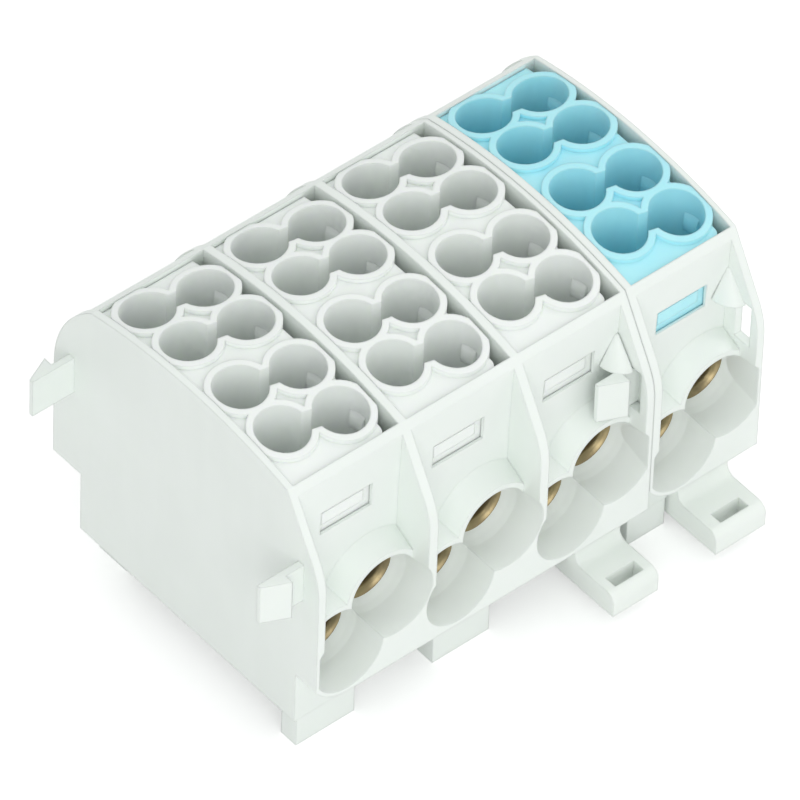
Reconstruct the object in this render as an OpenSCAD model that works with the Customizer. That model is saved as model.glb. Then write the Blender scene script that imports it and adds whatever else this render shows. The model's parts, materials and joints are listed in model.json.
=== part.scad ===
// Four pole power distribution block for a 35 mm rail.
// X runs along the rail, Y from front to back, Z up. All sizes in millimetres.

/* [Poles] */
// distance from one pole to the next
pole_pitch = 20; // [19.9:0.05:20.2]
// thickness of the side walls and partitions at the front edge
fin_t = 1.35; // [1.1:0.05:1.4]
// air between the two housings
module_gap = 0.1; // [0:0.05:0.2]

/* [Housing profile] */
// distance from the front face to the back face
body_depth = 57.4; // [57:0.1:59]
// height of the roof above the feet
body_height = 52.3; // [52:0.1:53.5]
// radius of the arched roof
roof_r = 90; // [85:1:100]
// height of the rail seat above the feet
seat_z = 5.3; // [5.2:0.05:5.5]
// height of the front underside above the feet
front_z = 11.5; // [11.2:0.05:11.6]

/* [Rail] */
// front edge of the rail recess, measured forward from the middle
rail_front = 21; // [20.8:0.05:21.2]
// back edge of the rail recess, measured back from the middle
rail_back = 14.6; // [14.4:0.05:14.8]
// thickness of the rail lip that the hooks hold
rail_lip = 1; // [0.9:0.05:1.1]

/* [Cable entries] */
// radius of the hole for one conductor in the terminal bar
bore_r = 3.75; // [3.7:0.01:3.8]
// radius of a funnel at the front face
funnel_r = 6.1; // [5.8:0.05:6.15]
// height of the lower conductor
low_z = 18.3; // [18.2:0.05:18.5]
// height of the upper conductor
high_z = 23.5; // [23.3:0.05:23.7]

/* [Screwdriver wells] */
// radius of a well
well_r = 4; // [3.9:0.05:4.05]
// width of the rim round a well
rim_w = 1.05; // [0.9:0.05:1.1]
// how far the rims stand above the top of the insert
rim_h = 0.7; // [0.4:0.05:0.9]
// width of the neck that joins two wells
neck_w = 3; // [2.6:0.1:3.2]

/* [Clamp screws] */
// radius of a screw head
head_r = 3.4; // [3.3:0.02:3.42]
// radius of a screw shank
shank_r = 2.5; // [2.4:0.02:2.5]
// radial running clearance of a shank in its hole
run_clear = 0.05; // [0.03:0.01:0.08]

/* [Rail latches] */
// how far a latch tongue reaches in front of the middle
tongue_reach = 34.6; // [34.2:0.1:35]
// thickness of a latch tongue
tongue_t = 4; // [3.6:0.1:4.1]

/* [Hidden] */
$fn = 96;
eps = 0.02;
fit = 0.15;
slide_gap = 0.3;

// Housing widths and places.
half_d = body_depth / 2;
poles_main = 3;
main_w = poles_main * pole_pitch + 0.5;
neutral_x = main_w + module_gap;
neutral_w = pole_pitch + 0.15;
wall_t = fin_t - 0.2;
right_wall_t = 0.8;
edge_keep = 0.6;

// Side profile, in (Y, Z).
roof_y = 0.5;
front_arc = [-(half_d - 12), 33.5];
front_arc_r = 12;
front_arc_end = 29;
back_arc = [half_d - 20, 34];
back_arc_r = 20;
ledge_y = half_d - 6.1;
ledge_z = 16.3;
chin_y = half_d - 4.4;
chin_r = low_z - front_z;

// Recess between the fins and the window in it.
face_top = [-22.3, 49];
face_low = [-21.75, 37];
window_x = [5.9, 15];
window_z = [37, 41.5];

// Cable ways. Each pole has a low way on the left and a high way on the right.
low_x = 5.9;
high_x = 14.65;
ways = [[low_x, low_z], [high_x, high_z]];
rim_y = half_d - 4;
throat_y = 20.4;
throat_r = bore_r + 0.3;
rim_flare = 0.5;
collar_r = 6.6;
collar_foot_r = 8;

// Top pocket and insert.
pocket_x = wall_t;
pocket_front = -21.3;
pocket_back = 20.5;
insert_x0 = wall_t + 0.1;
insert_x1 = 17.75;
insert_trim = 19.25;
insert_front = pocket_front + fit;
insert_back = pocket_back - fit;
corner_r = 1.2;
guide_r = head_r + 0.35;
shaft_z = 41.5;
rim_drop = 0.1;
left_y = [-13.3, -4.3, 6.9, 15.7];
right_y = [-15.3, -6.2, 5, 13.8];
lug_w = 2.4;

// Terminal bar.
bar_x0 = low_x - bore_r - 0.75;
bar_x1 = high_x + bore_r + 0.75;
bar_mid = (low_x + high_x) / 2;
bar_half = 19;
bar_under = 1.75;
bar_over = 4.75;
web_half = 1;
low_top = low_z + bore_r + bar_over;
high_top = high_z + bore_r + bar_over;

// Clamp screws.
shank_gap = 0.25;
head_h = 3;
clamp_travel = 5;
head_lift = clamp_travel + 0.5;
slot_w = 1;
slot_deep = 1.4;

// Rail feet, fixed hooks and latches.
foot_y = half_d - 4.5;
nose_z = seat_z - rail_lip - 0.4;
nose_in = 1.6;
rib_y = [-11, -1.8, 9.5];
rib_h = 0.3;
latch_w = 8.3;
latch_neutral_w = 9.3;
latch_x = 49.4;
latch_neutral_x = neutral_x + 7.8;
tongue_z = 1.8;
leg_y = [-26.2, -23];
nose_y = -19.4;
bar_latch_z = [7.2, 10.2];
bar_latch_y = -8;
slot_len = 5.2;
slot_y = [-33.1, -31];
latch_travel = 3;

// Side hooks and the windows they snap into.
hook_len = 7.4;
hook_shank = 3.2;
hook_t = 1.1;
barb = 1.5;
hook_back_y = 24.2;
hook_front_y = -25.4;
hook_back_z = [31.5, 38.3];
hook_front_z = [30.9, 38];

// The origin sits under the middle of the bounding box.
origin_x = (neutral_x + neutral_w - hook_len) / 2;
origin_y = (half_d - tongue_reach) / 2;

white = [0.93, 0.94, 0.93];
blue = [0.45, 0.72, 0.93];
brass = [0.78, 0.62, 0.32];
steel = [0.7, 0.71, 0.72];

// Stands a (Y, Z) outline up and runs it along X from x0 to x1.
module along_x(x0, x1) {
    translate([x0, 0, 0]) rotate([90, 0, 90]) linear_extrude(x1 - x0) children();
}

// Stands an (X, Z) outline up and runs it along Y from y0 to y1.
module along_y(y0, y1) {
    translate([0, y1, 0]) rotate([90, 0, 0]) linear_extrude(y1 - y0) children();
}

module span(lo, hi) {
    translate(lo) cube([for (i = [0:2]) hi[i] - lo[i]]);
}

module in_frame() {
    translate([-origin_x, -origin_y, 0]) children();
}

module roof_disc(drop) {
    translate([roof_y, body_height - roof_r]) circle(r = roof_r - drop, $fn = 180);
}

module body_profile() {
    arc_tip = front_arc + front_arc_r * [-cos(front_arc_end), sin(front_arc_end)];
    intersection() {
        roof_disc(0);
        union() {
            translate([-half_d, ledge_z]) square([body_depth, front_arc.y - ledge_z]);
            translate([-half_d, front_z]) square([half_d + ledge_y, ledge_z - front_z + eps]);
            translate([-chin_y, seat_z]) square([chin_y + ledge_y, front_z - seat_z + eps]);
            translate(front_arc) circle(r = front_arc_r);
            polygon([
                front_arc, arc_tip, arc_tip + 11.5 * [sin(front_arc_end), cos(front_arc_end)],
                [-18, body_height + 1], [back_arc.x, body_height + 1], [back_arc.x, front_arc.y]
            ]);
            translate(back_arc) circle(r = back_arc_r);
        }
    }
}

// Radius of a funnel between its throat (t = 0) and its rim (t = 1).
function bowl_r(t) = throat_r + (funnel_r - rim_flare - throat_r) * sin(90 * t);

// One funnel on the front side, centred on the way at place = [x, z].
module funnel(place) {
    translate([place.x, 0, place.y]) rotate([90, 0, 0]) rotate_extrude() polygon([
        [0, bar_half - 1], [throat_r, bar_half - 1],
        for (t = [0:0.25:1]) [bowl_r(t), throat_y + (rim_y - throat_y) * t],
        [funnel_r, half_d + eps], [0, half_d + eps]
    ]);
}

module collar(place) {
    translate([place.x, 0, place.y]) rotate([90, 0, 0]) translate([0, 0, 20])
        cylinder(h = rim_y + 0.7 - 20, r1 = collar_foot_r + 0.8, r2 = collar_r);
}

// The space in front of the plate between two fins, above the funnels.
module recess(right) {
    left = fin_t;
    difference() {
        intersection() {
            along_x(left, right) polygon([
                [-40, 10], [-40, 60], face_top + [-0.25, 11], face_top, face_low, [face_low.x, 10]
            ]);
            along_y(-40, -10) polygon([
                [left - 1, low_z + 2.4], [low_x, low_z], [high_x, high_z], [right + 1, high_z + 2.9],
                [right + 1, 60], [left - 1, 60]
            ]);
        }
        for (place = ways) collar(place);
    }
}

// Everything that is cut at the front of one pole: recess, window and two funnels.
module front_cuts(right, keep_left, keep_right) {
    recess(right);
    span([window_x[0], -24, window_z[0]], [window_x[1], -20, window_z[1]]);
    intersection() {
        for (place = ways) funnel(place);
        span([keep_left, -half_d - 1, 0], [keep_right, 0, 60]);
    }
}

// The inner room of one pole: top pocket for the insert over a stepped seat for the bar.
module pole_room(right) {
    span([pocket_x, pocket_front, high_top], [right, pocket_back, 60]);
    span([bar_x0 - fit, -bar_half - fit, low_z - bore_r - bar_under],
         [bar_mid + eps, bar_half + fit, high_top + eps]);
    span([bar_mid, -bar_half - fit, high_z - bore_r - bar_under],
         [bar_x1 + fit, bar_half + fit, high_top + eps]);
}

module pole_cuts(right, room_right, keep_left, keep_right) {
    pole_room(room_right);
    front_cuts(right, keep_left, keep_right);
    mirror([0, 1, 0]) front_cuts(right, keep_left, keep_right);
}

module hook(side, y, z) {
    translate([0, 0, z[0]]) linear_extrude(z[1] - z[0]) polygon([
        [eps, y], [eps, y + side * hook_t], [-hook_shank, y + side * hook_t],
        [-hook_shank, y + side * (hook_t + barb)], [-hook_len, y + side * hook_t * 0.6], [-hook_len, y]
    ]);
}

module side_hooks() {
    hook(1, hook_back_y, hook_back_z);
    hook(-1, hook_front_y + hook_t, hook_front_z);
}

module hook_windows(x) {
    reach = hook_t + barb + slide_gap;
    span([x - 3, hook_back_y - slide_gap, hook_back_z[0] - slide_gap],
         [x + 1, hook_back_y + reach, hook_back_z[1] + slide_gap]);
    span([x - 3, hook_front_y + hook_t - reach, hook_front_z[0] - slide_gap],
         [x + 1, hook_front_y + hook_t + slide_gap, hook_front_z[1] + slide_gap]);
}

module feet(spans) {
    for (s = spans) span([s[0], -foot_y, 0], [s[1], -rail_front, seat_z + eps]);
}

// The fixed hooks behind the rail, one straight profile along the housing.
module back_hook(x0, x1) {
    along_x(x0, x1) polygon([
        [rail_back, seat_z + eps], [rail_back, nose_z], [rail_back - nose_in, nose_z],
        [rail_back - nose_in + 0.5, 2], [rail_back + 1.4, 0], [ledge_y - 0.8, 0], [ledge_y, 1],
        [ledge_y, seat_z + eps]
    ]);
}

module seat_ribs(x0, x1) {
    for (y = rib_y) span([x0, y - 0.5, seat_z - rib_h], [x1, y + 0.5, seat_z + eps]);
}

module latch_room(x, w) {
    x0 = x - slide_gap;
    x1 = x + w + slide_gap;
    span([x0, -chin_y - 1, seat_z - 1], [x1, leg_y[1] + slide_gap, bar_latch_z[1] + slide_gap]);
    span([x0, -chin_y - 1, bar_latch_z[0] - slide_gap],
         [x1, bar_latch_y + slide_gap, bar_latch_z[1] + slide_gap]);
}

// The rounded lower corner of a housing, which follows the first low funnel.
module left_chin(x) {
    translate([x, 0, 0]) along_y(-half_d - 1, -chin_y) difference() {
        translate([-1, front_z - 1]) square([low_x + 1, chin_r + 1]);
        translate([low_x, low_z]) circle(r = chin_r);
    }
}

module housing_shell(w) {
    along_x(0, w) body_profile();
    side_hooks();
}

module housing_3pole() {
    color(white) in_frame() union() {
        difference() {
            housing_shell(main_w);
            for (k = [0:poles_main - 1]) {
                last = k == poles_main - 1;
                end = main_w - k * pole_pitch;
                translate([k * pole_pitch, 0, 0]) pole_cuts(
                    last ? end - fin_t : pole_pitch - 0.2,
                    last ? end - right_wall_t : pole_pitch - 0.2,
                    k == 0 ? edge_keep : -1,
                    last ? end - edge_keep : pole_pitch + 1);
            }
            hook_windows(main_w);
            latch_room(latch_x, latch_w);
            left_chin(0);
        }
        feet([[0.5, 11], [25.2, 35.5]]);
        back_hook(3, main_w - 3);
        seat_ribs(0.5, main_w - 0.5);
    }
}

module housing_neutral() {
    color(white) in_frame() translate([neutral_x, 0, 0]) union() {
        difference() {
            housing_shell(neutral_w);
            pole_cuts(neutral_w - fin_t, neutral_w - right_wall_t, edge_keep, neutral_w - edge_keep);
            hook_windows(neutral_w);
            latch_room(latch_neutral_x - neutral_x, latch_neutral_w);
            left_chin(0);
        }
        feet([[0.3, 7.3]]);
        back_hook(2.5, neutral_w - 2.5);
        seat_ribs(0.5, neutral_w - 0.5);
    }
}

function pole_x(p) = p < poles_main ? p * pole_pitch : neutral_x;

module insert_plan() {
    intersection() {
        translate([insert_x0, insert_front]) square([insert_trim - insert_x0, insert_back - insert_front]);
        union() {
            difference() {
                translate([insert_x0, insert_front])
                    square([insert_x1 - insert_x0, insert_back - insert_front]);
                translate([insert_x1 - corner_r, insert_front - 1]) square([corner_r + 1, corner_r + 1]);
            }
            translate([insert_x1 - corner_r, insert_front + corner_r]) circle(r = corner_r);
            for (y = right_y) translate([high_x, y]) circle(r = well_r + rim_w);
        }
    }
}

// Two joined wells: their circles grown by a margin, on the insert's plan.
module pair(i, grow) {
    translate([low_x, left_y[i]]) circle(r = well_r + grow);
    translate([high_x, right_y[i]]) circle(r = well_r + grow);
}

module neck(i) {
    step = [high_x - low_x, right_y[i] - left_y[i]];
    translate([low_x, left_y[i]]) rotate(atan2(step.y, step.x))
        translate([well_r - 1, -neck_w / 2]) square([norm(step) - 2 * well_r + 2, neck_w]);
}

module well_cuts(i) {
    translate([0, 0, shaft_z]) linear_extrude(20) union() {
        pair(i, 0);
        neck(i);
    }
    translate([low_x, left_y[i], 20]) cylinder(h = 30, r = guide_r);
    translate([high_x, right_y[i], 20]) cylinder(h = 30, r = guide_r);
}

module insert(p) {
    in_frame() translate([pole_x(p), 0, 0]) difference() {
        union() {
            intersection() {
                translate([0, 0, high_top]) linear_extrude(25) insert_plan();
                along_x(0, pole_pitch) roof_disc(rim_drop + rim_h);
            }
            intersection() {
                translate([0, 0, high_top + 5]) linear_extrude(20) intersection() {
                    insert_plan();
                    union() for (i = [0:3]) pair(i, rim_w);
                }
                along_x(0, pole_pitch) roof_disc(rim_drop);
            }
            span([bar_x0, -bar_half, low_top], [bar_mid - fit, bar_half, high_top + eps]);
            for (s = [0, 1]) mirror([0, s, 0])
                span([window_x[0] + 0.1, insert_front - 0.7, 39], [13.4, insert_front + 1, 41.2]);
        }
        for (i = [0:3]) {
            well_cuts(i);
            span([high_x + 2.5, right_y[i] - lug_w / 2, 37], [pole_pitch, right_y[i] + lug_w / 2, 44.5]);
        }
    }
}

module bar(p) {
    color(brass) in_frame() translate([pole_x(p), 0, 0]) difference() {
        union() {
            span([bar_x0, -bar_half, low_z - bore_r - bar_under], [bar_mid, bar_half, low_top]);
            span([bar_mid - eps, -bar_half, high_z - bore_r - bar_under], [bar_x1, bar_half, high_top]);
        }
        for (place = ways, s = [0, 1]) mirror([0, s, 0])
            translate([place.x, -web_half, place.y]) rotate([90, 0, 0]) cylinder(h = 30, r = bore_r);
        for (y = left_y) translate([low_x, y, low_z]) cylinder(h = 20, r = shank_r + run_clear);
        for (y = right_y) translate([high_x, y, high_z]) cylinder(h = 20, r = shank_r + run_clear);
    }
}

// A slotted clamp screw of pole p, row 0 (low, left) or 1 (high, right), number i from the front.
module screw(p, row, i) {
    x = row == 0 ? low_x : high_x;
    y = row == 0 ? left_y[i] : right_y[i];
    bottom = (row == 0 ? low_z : high_z) + bore_r + shank_gap;
    head_z = (row == 0 ? low_top : high_top) + head_lift;
    color(steel) in_frame() translate([pole_x(p) + x, y, 0]) difference() {
        union() {
            translate([0, 0, bottom + 0.6]) cylinder(h = head_z - bottom, r = shank_r);
            translate([0, 0, bottom]) cylinder(h = 0.6, r1 = shank_r - 0.6, r2 = shank_r);
            translate([0, 0, head_z]) cylinder(h = head_h - 0.4, r = head_r);
            translate([0, 0, head_z + head_h - 0.4]) cylinder(h = 0.4, r1 = head_r, r2 = head_r - 0.4);
        }
        rotate(25 + 40 * i + 15 * p) span([-head_r - 1, -slot_w / 2, head_z + head_h - slot_deep],
                                          [head_r + 1, slot_w / 2, head_z + head_h + 1]);
    }
}

module latch(x, w) {
    round_r = 1.6;
    front = -tongue_reach;
    top = tongue_z + tongue_t;
    color(white) in_frame() difference() {
        union() {
            along_x(x, x + w) union() {
                polygon([
                    [front, tongue_z], [nose_y, tongue_z], [nose_y, nose_z - 0.9], [nose_y - 0.6, nose_z],
                    [leg_y[1], nose_z], [leg_y[1], bar_latch_z[0]], [bar_latch_y, bar_latch_z[0]],
                    [bar_latch_y, bar_latch_z[1]], [leg_y[0], bar_latch_z[1]],
                    [leg_y[0], top], [front + round_r, top], [front + round_r, top - round_r],
                    [front, top - round_r]
                ]);
                translate([front + round_r, top - round_r]) circle(r = round_r);
                difference() {
                    translate([leg_y[0] - round_r, top - eps]) square([round_r + eps, round_r + eps]);
                    translate([leg_y[0] - round_r, top + round_r]) circle(r = round_r);
                }
            }
        }
        span([x + (w - slot_len) / 2, slot_y[0], 0], [x + (w + slot_len) / 2, slot_y[1], top + 1]);
    }
}

module insert_p1() { color(white) insert(0); }
module insert_p2() { color(white) insert(1); }
module insert_p3() { color(white) insert(2); }
module insert_n() { color(blue) insert(3); }
module bar_p1() { bar(0); }
module bar_p2() { bar(1); }
module bar_p3() { bar(2); }
module bar_n() { bar(3); }
module latch_3pole() { latch(latch_x, latch_w); }
module latch_neutral() { latch(latch_neutral_x, latch_neutral_w); }

housing_3pole();
housing_neutral();
insert_p1();
insert_p2();
insert_p3();
insert_n();
bar_p1();
bar_p2();
bar_p3();
bar_n();
latch_3pole();
latch_neutral();
screw(0, 0, 0);  // screw_p1_l1
screw(0, 0, 1);  // screw_p1_l2
screw(0, 0, 2);  // screw_p1_l3
screw(0, 0, 3);  // screw_p1_l4
screw(0, 1, 0);  // screw_p1_r1
screw(0, 1, 1);  // screw_p1_r2
screw(0, 1, 2);  // screw_p1_r3
screw(0, 1, 3);  // screw_p1_r4
screw(1, 0, 0);  // screw_p2_l1
screw(1, 0, 1);  // screw_p2_l2
screw(1, 0, 2);  // screw_p2_l3
screw(1, 0, 3);  // screw_p2_l4
screw(1, 1, 0);  // screw_p2_r1
screw(1, 1, 1);  // screw_p2_r2
screw(1, 1, 2);  // screw_p2_r3
screw(1, 1, 3);  // screw_p2_r4
screw(2, 0, 0);  // screw_p3_l1
screw(2, 0, 1);  // screw_p3_l2
screw(2, 0, 2);  // screw_p3_l3
screw(2, 0, 3);  // screw_p3_l4
screw(2, 1, 0);  // screw_p3_r1
screw(2, 1, 1);  // screw_p3_r2
screw(2, 1, 2);  // screw_p3_r3
screw(2, 1, 3);  // screw_p3_r4
screw(3, 0, 0);  // screw_n_l1
screw(3, 0, 1);  // screw_n_l2
screw(3, 0, 2);  // screw_n_l3
screw(3, 0, 3);  // screw_n_l4
screw(3, 1, 0);  // screw_n_r1
screw(3, 1, 1);  // screw_n_r2
screw(3, 1, 2);  // screw_n_r3
screw(3, 1, 3);  // screw_n_r4
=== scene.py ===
"""Looks of a four pole power distribution block that clips on a 35 mm rail.

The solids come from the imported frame. This file dresses them in moulded plastic,
brass and plated steel, adds the collars of the funnels and the small rounded forms
of the mouldings, and sets the studio.
"""

import json
import logging
import math
from dataclasses import dataclass, field
from enum import Enum
from typing import Any, Iterable, Mapping, Sequence, Union

import bmesh
import bpy
from mathutils import Matrix, Vector

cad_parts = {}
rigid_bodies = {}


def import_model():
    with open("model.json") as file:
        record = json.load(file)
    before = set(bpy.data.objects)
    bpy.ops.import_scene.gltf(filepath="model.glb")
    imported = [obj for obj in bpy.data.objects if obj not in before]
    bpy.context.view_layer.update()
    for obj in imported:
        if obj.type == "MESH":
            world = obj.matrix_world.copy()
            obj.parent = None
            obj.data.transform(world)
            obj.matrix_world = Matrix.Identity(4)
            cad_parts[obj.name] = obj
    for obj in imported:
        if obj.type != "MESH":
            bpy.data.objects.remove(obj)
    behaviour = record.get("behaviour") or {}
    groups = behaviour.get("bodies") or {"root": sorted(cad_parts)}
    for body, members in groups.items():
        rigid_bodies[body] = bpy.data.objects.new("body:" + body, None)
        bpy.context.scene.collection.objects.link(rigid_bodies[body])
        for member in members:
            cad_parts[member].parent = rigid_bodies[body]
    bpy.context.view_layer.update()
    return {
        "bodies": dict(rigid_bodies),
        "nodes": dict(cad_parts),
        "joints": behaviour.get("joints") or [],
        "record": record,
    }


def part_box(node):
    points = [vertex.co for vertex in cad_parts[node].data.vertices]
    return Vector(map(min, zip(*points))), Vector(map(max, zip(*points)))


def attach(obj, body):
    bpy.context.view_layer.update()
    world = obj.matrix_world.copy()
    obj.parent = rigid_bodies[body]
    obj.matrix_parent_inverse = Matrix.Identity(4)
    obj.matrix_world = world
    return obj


log = logging.getLogger("block")

MM = 0.001
ROOT_BODY = "block"
SHARP_ANGLE = math.radians(35.0)
SQUARE_ROOT = 0.5
HALF = 0.5
MIX_FACTOR, MIX_FIRST, MIX_SECOND, MIX_RESULT = 0, 6, 7, 2

Point = tuple[float, float, float]
Colour = tuple[float, float, float]
Span = tuple[float, float]
Number = Union[float, "Wire"]


class Slot(Enum):
    """Material slots of the record."""

    SHELL = "white_plastic"
    INSERT = "white_insert"
    BLUE = "blue_insert"
    LATCH = "latch_plastic"
    BRASS = "brass_bar"
    STEEL = "screw_steel"


class Pole(Enum):
    """The four poles, with the ending that their nodes carry."""

    FIRST = "p1"
    SECOND = "p2"
    THIRD = "p3"
    NEUTRAL = "n"


# ---------------------------------------------------------------- shader maths


class Wire:
    """A number that varies over a surface, used in plain arithmetic."""

    def __init__(self, graph: "Graph", socket: bpy.types.NodeSocket) -> None:
        """Wraps one output socket.

        Args:
            graph: The material that the socket belongs to.
            socket: The output that carries the number.
        """
        self.graph = graph
        self.socket = socket

    def _maths(self, operation: str, *values: Number) -> "Wire":
        """Adds one Math node.

        Args:
            operation: The node's operation.
            values: What its sockets take, in order.

        Returns:
            The node's result.
        """
        node = self.graph.add(
            "ShaderNodeMath", {"operation": operation}, dict(enumerate(values))
        )
        return Wire(self.graph, node.outputs[0])

    def __add__(self, other: Number) -> "Wire":
        """Adds."""
        return self._maths("ADD", self, other)

    __radd__ = __add__

    def __sub__(self, other: Number) -> "Wire":
        """Subtracts."""
        return self._maths("SUBTRACT", self, other)

    def __rsub__(self, other: Number) -> "Wire":
        """Subtracts from a number."""
        return self._maths("SUBTRACT", other, self)

    def __mul__(self, other: Number) -> "Wire":
        """Multiplies."""
        return self._maths("MULTIPLY", self, other)

    __rmul__ = __mul__

    def __pow__(self, other: Number) -> "Wire":
        """Raises to a power."""
        return self._maths("POWER", self, other)

    def sine(self) -> "Wire":
        """Takes the sine."""
        return self._maths("SINE", self)

    def above(self, low: float, high: float) -> "Wire":
        """Rises smoothly from 0 to 1 between two values.

        Args:
            low: Where it starts to rise.
            high: Where it reaches 1.

        Returns:
            The mask.
        """
        node = self.graph.add(
            "ShaderNodeMapRange",
            {"interpolation_type": "SMOOTHSTEP"},
            {"Value": self, "From Min": low, "From Max": high},
        )
        return Wire(self.graph, node.outputs[0])


class Graph:
    """One material's nodes, all of them made by one method."""

    BEVEL_SAMPLES = 6

    def __init__(self, name: str) -> None:
        """Starts an empty material.

        Args:
            name: The material's name.
        """
        self.material = bpy.data.materials.new(name)
        self.material.use_nodes = True
        self.tree = self.material.node_tree
        self.tree.nodes.clear()

    def add(
        self,
        kind: str,
        settings: Mapping[str, Any] | None = None,
        inputs: Mapping[Union[str, int], Any] | None = None,
    ) -> bpy.types.Node:
        """Makes one node.

        Args:
            kind: The node's type.
            settings: Its properties, set first.
            inputs: Values or links for its sockets, by name or place.

        Returns:
            The new node.
        """
        node = self.tree.nodes.new(kind)
        for key, value in (settings or {}).items():
            setattr(node, key, value)
        for key, value in (inputs or {}).items():
            self._plug(node.inputs[key], value)
        return node

    def _plug(self, socket: bpy.types.NodeSocket, value: Any) -> None:
        """Links or sets one socket.

        Args:
            socket: The input.
            value: A wire, an output socket, a number, a colour or a vector.
        """
        if isinstance(value, Wire):
            self.tree.links.new(value.socket, socket)
        elif isinstance(value, bpy.types.NodeSocket):
            self.tree.links.new(value, socket)
        elif isinstance(value, (tuple, list)) and socket.type == "RGBA":
            socket.default_value = (*value[:3], 1.0)
        else:
            socket.default_value = value

    def place(self, which: str = "Object") -> bpy.types.NodeSocket:
        """Gives the surface's coordinates, Object or Generated."""
        return self.add("ShaderNodeTexCoord").outputs[which]

    def scaled(self, place: bpy.types.NodeSocket, scale: Point) -> bpy.types.NodeSocket:
        """Stretches coordinates.

        Args:
            place: The coordinates.
            scale: Factor on each axis.

        Returns:
            The new coordinates.
        """
        node = self.add("ShaderNodeMapping", {}, {"Vector": place, "Scale": scale})
        return node.outputs[0]

    def noise(
        self, place: bpy.types.NodeSocket, scale: float, detail: float = 3.0
    ) -> Wire:
        """Adds a noise texture.

        Args:
            place: Its coordinates.
            scale: Its scale.
            detail: Its octaves.

        Returns:
            The noise, about 0.5.
        """
        node = self.add(
            "ShaderNodeTexNoise", {}, {"Vector": place, "Scale": scale, "Detail": detail}
        )
        return Wire(self, node.outputs[0])

    def axis(self, place: bpy.types.NodeSocket, index: int) -> Wire:
        """Gives one part of a vector, 0 to 2 for X to Z."""
        node = self.add("ShaderNodeSeparateXYZ", {}, {0: place})
        return Wire(self, node.outputs[index])

    def tint(self, mask: Number, low: Colour, high: Colour) -> bpy.types.NodeSocket:
        """Mixes two colours.

        Args:
            mask: 0 for the first colour, 1 for the second.
            low: The first colour.
            high: The second colour.

        Returns:
            The colour.
        """
        node = self.add(
            "ShaderNodeMix",
            {"data_type": "RGBA"},
            {MIX_FACTOR: mask, MIX_FIRST: low, MIX_SECOND: high},
        )
        return node.outputs[MIX_RESULT]

    def relief(
        self, height: Wire, distance: float, strength: float, edge: float
    ) -> bpy.types.NodeSocket:
        """Bends the surface's normal: worn round edges under a fine relief.

        Args:
            height: The relief.
            distance: Its depth in metres.
            strength: Its weight.
            edge: Radius of the softened edges in metres.

        Returns:
            The normal.
        """
        soft = self.add(
            "ShaderNodeBevel", {"samples": self.BEVEL_SAMPLES}, {"Radius": edge}
        )
        bump = self.add(
            "ShaderNodeBump",
            {},
            {
                "Height": height,
                "Distance": distance,
                "Strength": strength,
                "Normal": soft.outputs[0],
            },
        )
        return bump.outputs[0]

    def close(self, shader: bpy.types.Node) -> bpy.types.Material:
        """Sends a shader to the output.

        Args:
            shader: The last shader node.

        Returns:
            The finished material.
        """
        self.add("ShaderNodeOutputMaterial", {}, {"Surface": shader.outputs[0]})
        return self.material


# ---------------------------------------------------------------- finishes


@dataclass(frozen=True)
class MouldedPlastic:
    """Polyamide straight from a fine eroded mould.

    Colours are linear. Lengths are in metres.
    """

    name: str
    colour: Colour
    shade: Colour
    rough: float
    glow: float = 0.12
    glow_radius: Point = (0.9, 1.0, 0.8)
    glow_depth: float = 1.2 * MM
    specular: float = 0.42
    edge: float = 0.35 * MM
    cloud_scale: float = 90.0
    cloud_share: float = 0.6
    tone_span: Span = (0.34, 0.68)
    streak_scale: Point = (60.0, 260.0, 35.0)
    streak_detail: float = 4.0
    streak_rough: float = 0.10
    grain_scale: float = 5200.0
    grain_detail: float = 2.0
    grain_rough: float = 0.08
    grain_depth: float = 0.006 * MM
    speck_scale: float = 1900.0
    speck_span: Span = (0.7, 0.78)
    relief_shares: Point = (0.8, 0.5, 0.2)
    relief_strength: float = 0.6

    def build(self) -> bpy.types.Material:
        """Makes the material: cloudy tone, flow streaks, fine grain and soft edges."""
        graph = Graph(self.name)
        place = graph.place()
        cloud = graph.noise(place, self.cloud_scale)
        streaked = graph.scaled(place, self.streak_scale)
        streak = graph.noise(streaked, 1.0, self.streak_detail)
        grain = graph.noise(place, self.grain_scale, self.grain_detail)
        speck = graph.noise(place, self.speck_scale, 1.0).above(*self.speck_span)
        tone = cloud * self.cloud_share + streak * (1.0 - self.cloud_share)
        of_grain, of_streak, of_speck = self.relief_shares
        height = grain * of_grain + streak * of_streak + speck * of_speck
        rough = self.rough + (streak - HALF) * self.streak_rough
        rough = rough + (grain - HALF) * self.grain_rough
        shader = graph.add(
            "ShaderNodeBsdfPrincipled",
            {},
            {
                "Base Color": graph.tint(
                    tone.above(*self.tone_span), self.shade, self.colour
                ),
                "Roughness": rough,
                "Normal": graph.relief(
                    height, self.grain_depth, self.relief_strength, self.edge
                ),
                "Subsurface Weight": self.glow,
                "Subsurface Radius": self.glow_radius,
                "Subsurface Scale": self.glow_depth,
                "Specular IOR Level": self.specular,
            },
        )
        return graph.close(shader)


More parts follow.
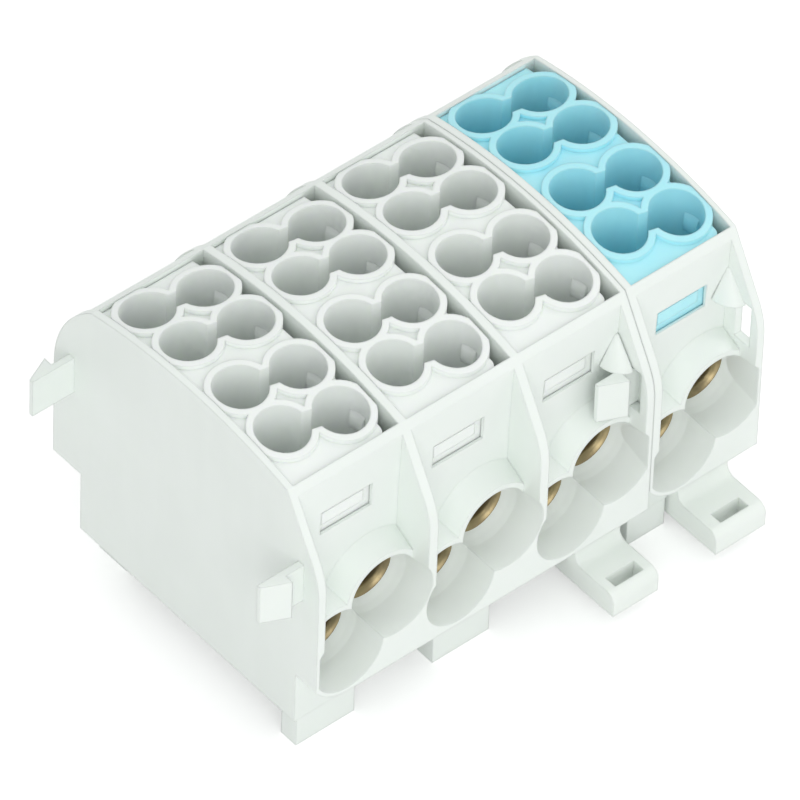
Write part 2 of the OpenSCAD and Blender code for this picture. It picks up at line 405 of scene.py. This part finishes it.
@dataclass(frozen=True)
class DrawnBrass:
    """Brass bar, drawn along the conductors and slightly dulled.

    Colours are linear. Lengths are in metres.
    """

    name: str
    bright: Colour
    dull: Colour
    rough: float = 0.27
    line_scale: Point = (2600.0, 60.0, 2600.0)
    line_detail: float = 4.0
    line_rough: float = 0.14
    stain_scale: float = 240.0
    stain_detail: float = 5.0
    stain_span: Span = (0.42, 0.66)
    stain_share: float = 0.8
    stain_rough: float = 0.12
    nick_scale: float = 900.0
    nick_span: Span = (0.66, 0.74)
    relief_depth: float = 0.008 * MM
    relief_strength: float = 0.7
    edge: float = 0.2 * MM

    def build(self) -> bpy.types.Material:
        """Makes the material: draw lines, stains and small nicks."""
        graph = Graph(self.name)
        place = graph.place()
        drawn = graph.scaled(place, self.line_scale)
        lines = graph.noise(drawn, 1.0, self.line_detail)
        stain = graph.noise(place, self.stain_scale, self.stain_detail)
        stain = stain.above(*self.stain_span)
        nick = graph.noise(place, self.nick_scale, 1.0).above(*self.nick_span)
        mask = stain * self.stain_share + nick * (1.0 - self.stain_share)
        shader = graph.add(
            "ShaderNodeBsdfPrincipled",
            {},
            {
                "Base Color": graph.tint(mask, self.bright, self.dull),
                "Metallic": 1.0,
                "Roughness": (
                    self.rough + lines * self.line_rough + stain * self.stain_rough
                ),
                "Normal": graph.relief(
                    lines + nick, self.relief_depth, self.relief_strength, self.edge
                ),
            },
        )
        return graph.close(shader)


@dataclass(frozen=True)
class PlatedSteel:
    """Zinc plated screw steel with turning rings round its axis.

    Colours are linear. Lengths are in metres.
    """

    name: str
    bright: Colour
    dull: Colour
    rough: float = 0.24
    ring_rate: float = 260.0
    ring_share: float = 0.6
    frost_scale: float = 1500.0
    frost_rough: float = 0.2
    patch_scale: float = 420.0
    patch_detail: float = 4.0
    patch_span: Span = (0.45, 0.62)
    patch_rough: float = 0.08
    relief_depth: float = 0.006 * MM
    relief_strength: float = 0.6
    edge: float = 0.15 * MM

    def build(self) -> bpy.types.Material:
        """Makes the material: rings, a frosty plating and darker patches."""
        graph = Graph(self.name)
        local = graph.place("Generated")
        across = graph.axis(local, 0) - HALF
        along = graph.axis(local, 1) - HALF
        radius = (across * across + along * along) ** SQUARE_ROOT
        rings = (radius * self.ring_rate).sine() * HALF + HALF
        frost = graph.noise(graph.place(), self.frost_scale)
        patch = graph.noise(graph.place(), self.patch_scale, self.patch_detail)
        patch = patch.above(*self.patch_span)
        shader = graph.add(
            "ShaderNodeBsdfPrincipled",
            {},
            {
                "Base Color": graph.tint(patch, self.bright, self.dull),
                "Metallic": 1.0,
                "Roughness": (
                    self.rough + frost * self.frost_rough + patch * self.patch_rough
                ),
                "Normal": graph.relief(
                    rings * self.ring_share + frost,
                    self.relief_depth,
                    self.relief_strength,
                    self.edge,
                ),
            },
        )
        return graph.close(shader)


FINISHES: dict[Slot, Any] = {
    Slot.SHELL: MouldedPlastic(
        "shell_plastic", (0.885, 0.93, 0.895), (0.86, 0.905, 0.87), 0.44
    ),
    Slot.INSERT: MouldedPlastic(
        "insert_plastic", (0.91, 0.95, 0.92), (0.89, 0.93, 0.90), 0.38, glow=0.35
    ),
    Slot.BLUE: MouldedPlastic(
        "insert_blue_plastic", (0.50, 0.90, 0.99), (0.45, 0.875, 0.985), 0.36, glow=0.3
    ),
    Slot.LATCH: MouldedPlastic(
        "latch_plastic", (0.89, 0.935, 0.895), (0.86, 0.905, 0.865), 0.40
    ),
    Slot.BRASS: DrawnBrass("bar_brass", (0.36, 0.29, 0.16), (0.21, 0.175, 0.105)),
    Slot.STEEL: PlatedSteel("screw_plating", (0.60, 0.61, 0.62), (0.42, 0.43, 0.44)),
}


def slot_of(node: str) -> Slot:
    """Tells which finish a solid takes.

    Args:
        node: The solid's name.

    Returns:
        Its slot.
    """
    if node == "insert_n":
        return Slot.BLUE
    starts = {
        "housing": Slot.SHELL,
        "insert": Slot.INSERT,
        "latch": Slot.LATCH,
        "bar": Slot.BRASS,
        "screw": Slot.STEEL,
    }
    return starts[node.split("_")[0]]


# ---------------------------------------------------------------- mesh helpers


class Workshop:
    """Holds the built finishes and turns point lists into riding pieces."""

    def __init__(self, frame: dict[str, Any]) -> None:
        """Builds every finish.

        Args:
            frame: The loaded frame.
        """
        self.frame = frame
        self.materials = {slot: finish.build() for slot, finish in FINISHES.items()}

    def dress_solids(self) -> None:
        """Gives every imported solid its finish."""
        for name, solid in self.frame["nodes"].items():
            material = self.materials[slot_of(name)]
            for holder in solid.material_slots:
                holder.material = material
            log.info("dressed %s in %s", name, material.name)

    def piece(
        self, name: str, mesh: bmesh.types.BMesh, slot: Slot
    ) -> bpy.types.Object:
        """Makes an object from a mesh, finished and riding on the block.

        Args:
            name: The piece's name.
            mesh: Its mesh, in metres in the frame. It is freed.
            slot: Its finish.

        Returns:
            The object.
        """
        bmesh.ops.recalc_face_normals(mesh, faces=mesh.faces)
        for face in mesh.faces:
            face.smooth = True
        for edge in mesh.edges:
            if len(edge.link_faces) == 2:
                edge.smooth = edge.calc_face_angle() < SHARP_ANGLE
        data = bpy.data.meshes.new(name)
        mesh.to_mesh(data)
        mesh.free()
        data.materials.append(self.materials[slot])
        thing = bpy.data.objects.new(name, data)
        bpy.context.scene.collection.objects.link(thing)
        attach(thing, ROOT_BODY)
        log.info("made %s, %d faces", name, len(data.polygons))
        return thing


def sweep(
    mesh: bmesh.types.BMesh,
    rows: Sequence[Sequence[Point]],
    closed_path: bool,
) -> None:
    """Joins rings of points into a skin.

    Args:
        mesh: The mesh that takes the faces.
        rows: Rings of as many points each.
        closed_path: Whether the last ring joins the first. Otherwise both are capped.
    """
    made = [[mesh.verts.new(point) for point in row] for row in rows]
    count = len(made[0])
    ends = len(made) if closed_path else len(made) - 1
    for i in range(ends):
        here, there = made[i], made[(i + 1) % len(made)]
        for j in range(count):
            k = (j + 1) % count
            mesh.faces.new((here[j], here[k], there[k], there[j]))
    if not closed_path:
        mesh.faces.new(made[0])
        mesh.faces.new(list(reversed(made[-1])))


# ---------------------------------------------------------------- the block


@dataclass
class Layout:
    """Places that the mouldings share, in millimetres from a pole's left face."""

    low_x: float = 5.9
    high_x: float = 14.65
    low_z: float = 18.3
    high_z: float = 23.5
    high_wells: tuple[float, ...] = (-15.3, -6.2, 5.0, 13.8)
    insert_left: float = 1.25
    middle_y: float = -2.95
    lefts: dict[Pole, float] = field(default_factory=dict)

    def left_of(self, pole: Pole) -> float:
        """Gives the place of a pole's left face along X, in metres, measured once."""
        if pole not in self.lefts:
            low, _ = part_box(f"insert_{pole.value}")
            self.lefts[pole] = low[0] - self.insert_left * MM
        return self.lefts[pole]

    def at(self, pole: Pole, x: float, y: float, z: float) -> Point:
        """Turns a pole's own millimetres into the frame's metres.

        Args:
            pole: The pole.
            x: From its left face.
            y: From the middle of the body.
            z: Above the feet.

        Returns:
            The point.
        """
        return (self.left_of(pole) + x * MM, (y - self.middle_y) * MM, z * MM)


@dataclass
class RetentionLugs:
    """The springy lug on the wall of each high well, over its side window."""

    layout: Layout
    well_r: float = 4.0
    reach: float = 0.75
    sink: float = 0.3
    facing: float = 12.0
    spread: float = 19.0
    low: float = 43.7
    high: float = 46.9
    swell_at_foot: float = 0.15
    swell_end: float = 0.999
    fullness: float = 0.7
    crown: float = 0.35
    levels: tuple[float, ...] = (0.0, 0.15, 0.35, 0.6, 0.85, 1.0)
    inner_sides: tuple[float, ...] = (-1.0, -0.6, 0.0, 0.6, 1.0)
    outer_sides: tuple[float, ...] = (1.0, 0.0, -1.0)

    def _row(self, pole: Pole, y: float, t: float) -> list[Point]:
        """Gives one level of a lug.

        Args:
            pole: The pole.
            y: The well's place along Y in millimetres.
            t: 0 at the lug's foot, 1 at its top.

        Returns:
            A ring of points.
        """
        swell = self.swell_at_foot + (1.0 - self.swell_at_foot) * t
        bulge = math.sin(math.pi * swell * self.swell_end) ** self.fullness * self.reach
        inner = [
            (side, self.well_r - bulge * (1.0 - self.crown * side * side))
            for side in self.inner_sides
        ]
        outer = [(side, self.well_r + self.sink) for side in self.outer_sides]
        z = self.low + (self.high - self.low) * t
        row = []
        for side, radius in inner + outer:
            angle = math.radians(self.facing + side * self.spread)
            across = self.layout.high_x + radius * math.cos(angle)
            row.append(self.layout.at(pole, across, y + radius * math.sin(angle), z))
        return row

    def build(self, shop: Workshop, pole: Pole) -> bpy.types.Object:
        """Makes the four lugs of one insert.

        Args:
            shop: Makes the piece.
            pole: The pole.

        Returns:
            The piece.
        """
        mesh = bmesh.new()
        for y in self.layout.high_wells:
            rows = [self._row(pole, y, t) for t in self.levels]
            sweep(mesh, rows, closed_path=False)
        slot = Slot.BLUE if pole is Pole.NEUTRAL else Slot.INSERT
        return shop.piece(f"lugs_{pole.value}", mesh, slot)


@dataclass
class BoreCollars:
    """The brass collar in the throat of each cable funnel."""

    layout: Layout
    start: float = 19.0
    throat_end: float = 20.4
    bowl_end: float = 24.7
    lip: float = 21.4
    throat_r: float = 4.05
    bowl_rise: float = 1.55
    thick: float = 0.24
    lip_thick: float = 0.08
    sink: float = 0.02
    steps: int = 4
    around: int = 48

    def _wall(self, depth: float) -> float:
        """Gives the funnel's radius at a distance from the middle, in millimetres."""
        t = max(0.0, depth - self.throat_end) / (self.bowl_end - self.throat_end)
        return self.throat_r + self.bowl_rise * math.sin(math.pi / 2 * t)

    def _profile(self) -> list[tuple[float, float]]:
        """Gives the collar's section as depths and radii, outside first."""
        step = (self.lip - self.throat_end) / self.steps
        flare = [self.throat_end + step * i for i in range(self.steps + 1)]
        depths = [self.start] + flare
        outside = [(depth, self._wall(depth) + self.sink) for depth in depths]
        inside = [(depth, self._wall(depth) - self.thick) for depth in depths]
        inside[-1] = (self.lip, self._wall(self.lip) - self.lip_thick)
        return outside + inside[::-1]

    def build(self, shop: Workshop, pole: Pole) -> bpy.types.Object:
        """Makes the four collars of one pole.

        Args:
            shop: Makes the piece.
            pole: The pole.

        Returns:
            The piece.
        """
        mesh = bmesh.new()
        lay = self.layout
        profile = self._profile()
        ways = ((lay.low_x, lay.low_z), (lay.high_x, lay.high_z))
        for (x, z), side in [(way, side) for way in ways for side in (-1, 1)]:
            rows = []
            for i in range(self.around):
                angle = 2 * math.pi * i / self.around
                c, s = math.cos(angle), math.sin(angle)
                rows.append(
                    [lay.at(pole, x + r * c, side * d, z + r * s) for d, r in profile]
                )
            sweep(mesh, rows, closed_path=True)
        return shop.piece(f"collars_{pole.value}", mesh, Slot.BRASS)


@dataclass
class HookHoods:
    """The quarter cone over each hook window, in the corner by an outer right wall."""

    layout: Layout
    corner_x: float = 18.95
    corner_y: float = 21.95
    low: float = 37.6
    high: float = 42.6
    wide: float = 3.0
    deep: float = 3.9
    tip: float = 0.12
    lip: tuple[Span, ...] = ((0.0, 0.86), (0.08, 0.94), (0.3, 1.0))
    arc: int = 14

    def _levels(self) -> list[tuple[float, float]]:
        """Gives heights and sizes from the rounded lip to the tip."""
        rounded = [(self.low + rise, size) for rise, size in self.lip]
        return rounded + [(self.high, self.tip)]

    def build(self, shop: Workshop, pole: Pole) -> bpy.types.Object:
        """Makes the front and back hoods of one pole.

        Args:
            shop: Makes the piece.
            pole: The pole.

        Returns:
            The piece.
        """
        mesh = bmesh.new()
        for side in (-1, 1):
            rows = []
            for z, size in self._levels():
                row = [self.layout.at(pole, self.corner_x, side * self.corner_y, z)]
                for i in range(self.arc + 1):
                    angle = math.pi / 2 * i / self.arc
                    x = self.corner_x - self.wide * size * math.cos(angle)
                    y = self.corner_y + self.deep * size * math.sin(angle)
                    row.append(self.layout.at(pole, x, side * y, z))
                rows.append(row)
            sweep(mesh, rows, closed_path=False)
        return shop.piece(f"hoods_{pole.value}", mesh, Slot.SHELL)


@dataclass(frozen=True)
class Softbox:
    """A square soft lamp: where it hangs, its side in metres and its power in watts."""

    name: str
    place: Point
    size: float
    watts: float


@dataclass
class Studio:
    """Pale floor, soft lamps and the camera."""

    camera_at: Point = (-0.759618, -0.854833, 1.224664)
    right: Point = (0.764979, -0.643545, 0.025633)
    forward: Point = (0.458814, 0.516598, -0.722922)
    lens: float = 536.04
    sensor: float = 36.0
    far: float = 20.0
    floor_half: float = 4.0
    floor_tone: Colour = (0.86, 0.86, 0.86)
    floor_rough: float = 0.9
    floor_specular: float = 0.1
    floor_glow: float = 0.35
    air_tone: tuple[float, ...] = (0.98, 1.0, 0.99, 1.0)
    air_strength: float = 0.64
    aim: Point = (0.0, 0.0, 0.025)
    lamps: tuple[Softbox, ...] = (
        Softbox("softbox_top", (0.10, 0.25, 0.95), 0.9, 1.1),
        Softbox("softbox_right", (0.85, -0.15, 0.55), 0.7, 2.0),
        Softbox("softbox_front", (-0.55, -0.85, 0.55), 0.8, 4.2),
    )

    def build(self) -> None:
        """Sets floor, light and camera."""
        self._floor()
        self._world()
        for box in self.lamps:
            self._lamp(box)
        self._camera()
        bpy.context.scene.view_settings.view_transform = "Standard"

    def _floor(self) -> None:
        """Lays the floor, which the camera sees as white outside the shadow."""
        graph = Graph("studio_floor")
        path = graph.add("ShaderNodeLightPath")
        seen = Wire(graph, path.outputs["Is Camera Ray"]) + Wire(
            graph, path.outputs["Is Glossy Ray"]
        )
        glow = graph.tint(seen, (0.0, 0.0, 0.0), (1.0, 1.0, 1.0))
        shader = graph.add(
            "ShaderNodeBsdfPrincipled",
            {},
            {
                "Base Color": self.floor_tone,
                "Roughness": self.floor_rough,
                "Specular IOR Level": self.floor_specular,
                "Emission Color": glow,
                "Emission Strength": self.floor_glow,
            },
        )
        mesh = bmesh.new()
        half = self.floor_half
        corners = ((-half, -half), (half, -half), (half, half), (-half, half))
        mesh.faces.new([mesh.verts.new((x, y, 0.0)) for x, y in corners])
        data = bpy.data.meshes.new("studio_floor")
        mesh.to_mesh(data)
        mesh.free()
        data.materials.append(graph.close(shader))
        floor = bpy.data.objects.new("studio_floor", data)
        bpy.context.scene.collection.objects.link(floor)

    def _world(self) -> None:
        """Sets an even pale sky."""
        world = bpy.data.worlds.new("studio_air")
        bpy.context.scene.world = world
        world.use_nodes = True
        air = world.node_tree.nodes["Background"]
        air.inputs["Color"].default_value = self.air_tone
        air.inputs["Strength"].default_value = self.air_strength

    def _lamp(self, box: Softbox) -> None:
        """Hangs one soft lamp that looks at the block.

        Args:
            box: The lamp.
        """
        lamp = bpy.data.lights.new(box.name, "AREA")
        lamp.size = box.size
        lamp.energy = box.watts
        holder = bpy.data.objects.new(box.name, lamp)
        holder.location = box.place
        aim = Vector(self.aim) - Vector(box.place)
        holder.rotation_euler = aim.to_track_quat("-Z", "Y").to_euler()
        bpy.context.scene.collection.objects.link(holder)

    def _camera(self) -> None:
        """Places the camera."""
        camera = bpy.data.cameras.new("studio_camera")
        camera.lens = self.lens
        camera.sensor_width = self.sensor
        camera.clip_end = self.far
        holder = bpy.data.objects.new("studio_camera", camera)
        right = Vector(self.right).normalized()
        back = -Vector(self.forward).normalized()
        up = back.cross(right)
        turn = Matrix((right, up, back)).transposed().to_4x4()
        holder.matrix_world = Matrix.Translation(Vector(self.camera_at)) @ turn
        bpy.context.scene.collection.objects.link(holder)
        bpy.context.scene.camera = holder


def main() -> None:
    """Builds the dressed block."""
    logging.basicConfig(level=logging.INFO, format="%(message)s")
    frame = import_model()
    shop = Workshop(frame)
    shop.dress_solids()
    layout = Layout()
    for part in (RetentionLugs(layout), BoreCollars(layout)):
        for pole in Pole:
            part.build(shop, pole)
    for pole in (Pole.THIRD, Pole.NEUTRAL):
        HookHoods(layout).build(shop, pole)
    Studio().build()


if __name__ == "__main__":
    main()
